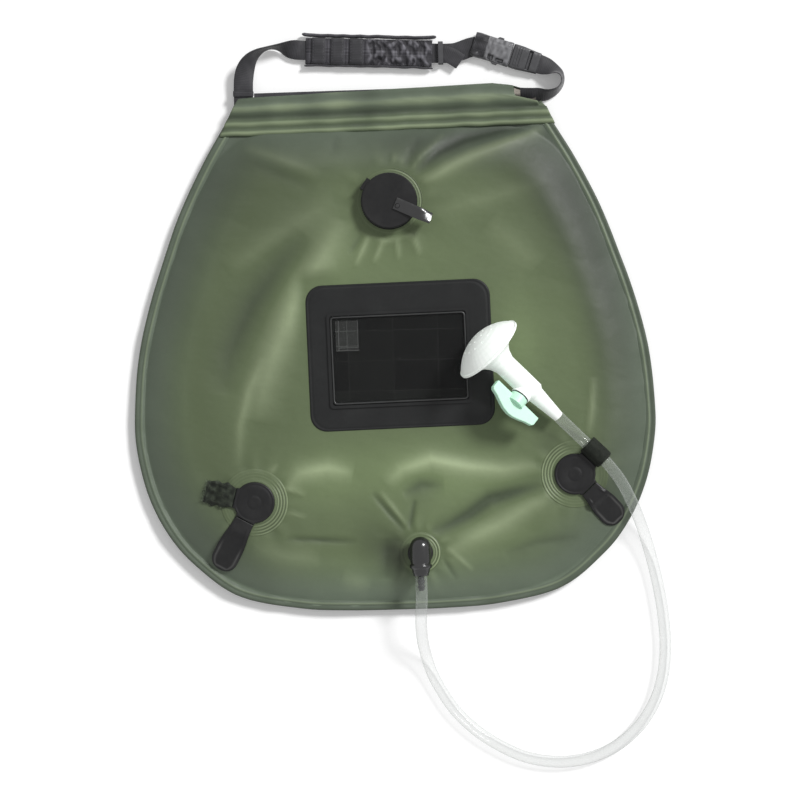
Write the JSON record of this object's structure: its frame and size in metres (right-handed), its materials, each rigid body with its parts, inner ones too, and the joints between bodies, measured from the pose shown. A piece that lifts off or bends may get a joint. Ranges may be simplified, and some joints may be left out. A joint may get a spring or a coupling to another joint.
{
  "type": "camp shower bag",
  "caption": "Flat coated water bag with carrying strap, capped fill valve, label panel, hose ties, outlet, clear hose and shower head with tap.",
  "frame": {"origin": "on the flat middle of the back, on the outline's centre line", "axes": "+X to the right as the front is seen, +Y towards the strap, +Z out of the front"},
  "size_m": [0.548, 0.7667, 0.1068],
  "materials": {
    "olive_fabric": "PVC coated olive green fabric, satin, lightly creased",
    "weld_seam": "high frequency welded fabric, paler olive green, satin",
    "webbing": "woven black polypropylene webbing",
    "grip_fabric": "black woven cover over foam",
    "buckle_plastic": "black acetal, lightly textured",
    "black_rubber": "black moulded soft PVC, semi matt",
    "label_vinyl": "black vinyl sheet, semi matt",
    "thermometer": "black printed film",
    "head_plastic": "white with a faint mint tint, moulded, satin",
    "tap_plastic": "pale mint green, moulded, satin",
    "clear_vinyl": "clear soft PVC"
  },
  "bodies": {
    "bag": {"back_panel": "olive_fabric", "fill_backing": "black_rubber", "fill_base": "black_rubber", "fill_hinge": "black_rubber", "fill_weld_ring": "weld_seam", "front_panel": "olive_fabric", "hem_webbing": "webbing", "hose": "clear_vinyl", "label_frame": "label_vinyl", "label_patch": "label_vinyl", "label_window": "clear_vinyl", "outlet_backing": "black_rubber", "outlet_collar": "black_rubber", "outlet_elbow": "black_rubber", "outlet_weld_ring": "weld_seam", "rim_binding": "weld_seam", "rose_shell": "head_plastic", "spray_plate": "head_plastic", "tap_body": "head_plastic", "thermometer_strip": "thermometer", "tie_disc_left": "black_rubber", "tie_disc_right": "black_rubber", "tie_patch_left": "weld_seam", "tie_patch_right": "weld_seam", "top_hem": "olive_fabric"},
    "strap": {"buckle_clip": "buckle_plastic", "buckle_socket": "buckle_plastic", "grip_band_1": "webbing", "grip_band_2": "webbing", "grip_band_3": "webbing", "grip_edge_lower": "webbing", "grip_edge_upper": "webbing", "grip_pad": "grip_fabric", "strap_keeper": "buckle_plastic", "strap_left": "webbing", "strap_right": "webbing", "strap_tail": "webbing"},
    "cap": {"fill_cap": "black_rubber", "fill_gasket": "black_rubber", "fill_tab": "black_rubber", "fill_stud": "black_rubber"},
    "tap": {"tap_plug": "tap_plastic", "tap_handle": "tap_plastic", "tap_washer": "black_rubber"},
    "prong_upper": {"buckle_prong_upper": "buckle_plastic"},
    "prong_lower": {"buckle_prong_lower": "buckle_plastic"},
    "tongue_long_left": {"long_tongue_left": "black_rubber"},
    "tongue_long_right": {"long_tongue_right": "black_rubber"},
    "tongue_short_left": {"short_tongue_left": "black_rubber"},
    "tongue_short_right": {"short_tongue_right": "black_rubber"}
  },
  "joints": [
    {"name": "strap_swing", "type": "hinge", "parent": "bag", "child": "strap", "pos_m": [0, 0.27085, 0.0105], "axis": [1, 0, 0], "range_deg": [0, 150]},
    {"name": "cap_open", "type": "hinge", "parent": "bag", "child": "cap", "pos_m": [-0.02573, 0.18169, 0.0402], "axis": [-0.5878, -0.809, 0], "range_deg": [0, 130]},
    {"name": "tap_turn", "type": "hinge", "parent": "bag", "child": "tap", "pos_m": [0.13524, -0.03104, 0.05514], "axis": [-0.6047, -0.7242, 0.3314], "range_deg": [0, 90]},
    {"name": "prong_upper_press", "type": "hinge", "parent": "strap", "child": "prong_upper", "pos_m": [0.13316, 0.32057, 0.0058], "axis": [0, 0, 1], "range_deg": [0, 8], "stiffness_Nm_per_rad": 0.3},
    {"name": "prong_lower_press", "type": "hinge", "parent": "strap", "child": "prong_lower", "pos_m": [0.1277, 0.30469, 0.0058], "axis": [0, 0, -1], "range_deg": [0, 8], "stiffness_Nm_per_rad": 0.3},
    {"name": "long_left_lift", "type": "hinge", "parent": "bag", "child": "tongue_long_left", "pos_m": [-0.15715, -0.16046, 0.0342], "axis": [-0.8704, 0.4924, 0], "range_deg": [0, 120]},
    {"name": "long_right_lift", "type": "hinge", "parent": "bag", "child": "tongue_long_right", "pos_m": [0.19712, -0.13748, 0.0342], "axis": [-0.7373, -0.6756, 0], "range_deg": [0, 120]},
    {"name": "short_left_lift", "type": "hinge", "parent": "bag", "child": "tongue_short_left", "pos_m": [-0.16723, -0.13641, 0.0342], "axis": [0.2588, 0.9659, 0], "range_deg": [0, 90]},
    {"name": "short_right_lift", "type": "hinge", "parent": "bag", "child": "tongue_short_right", "pos_m": [0.19779, -0.10672, 0.0342], "axis": [0.7071, -0.7071, 0], "range_deg": [0, 90]}
  ]
}
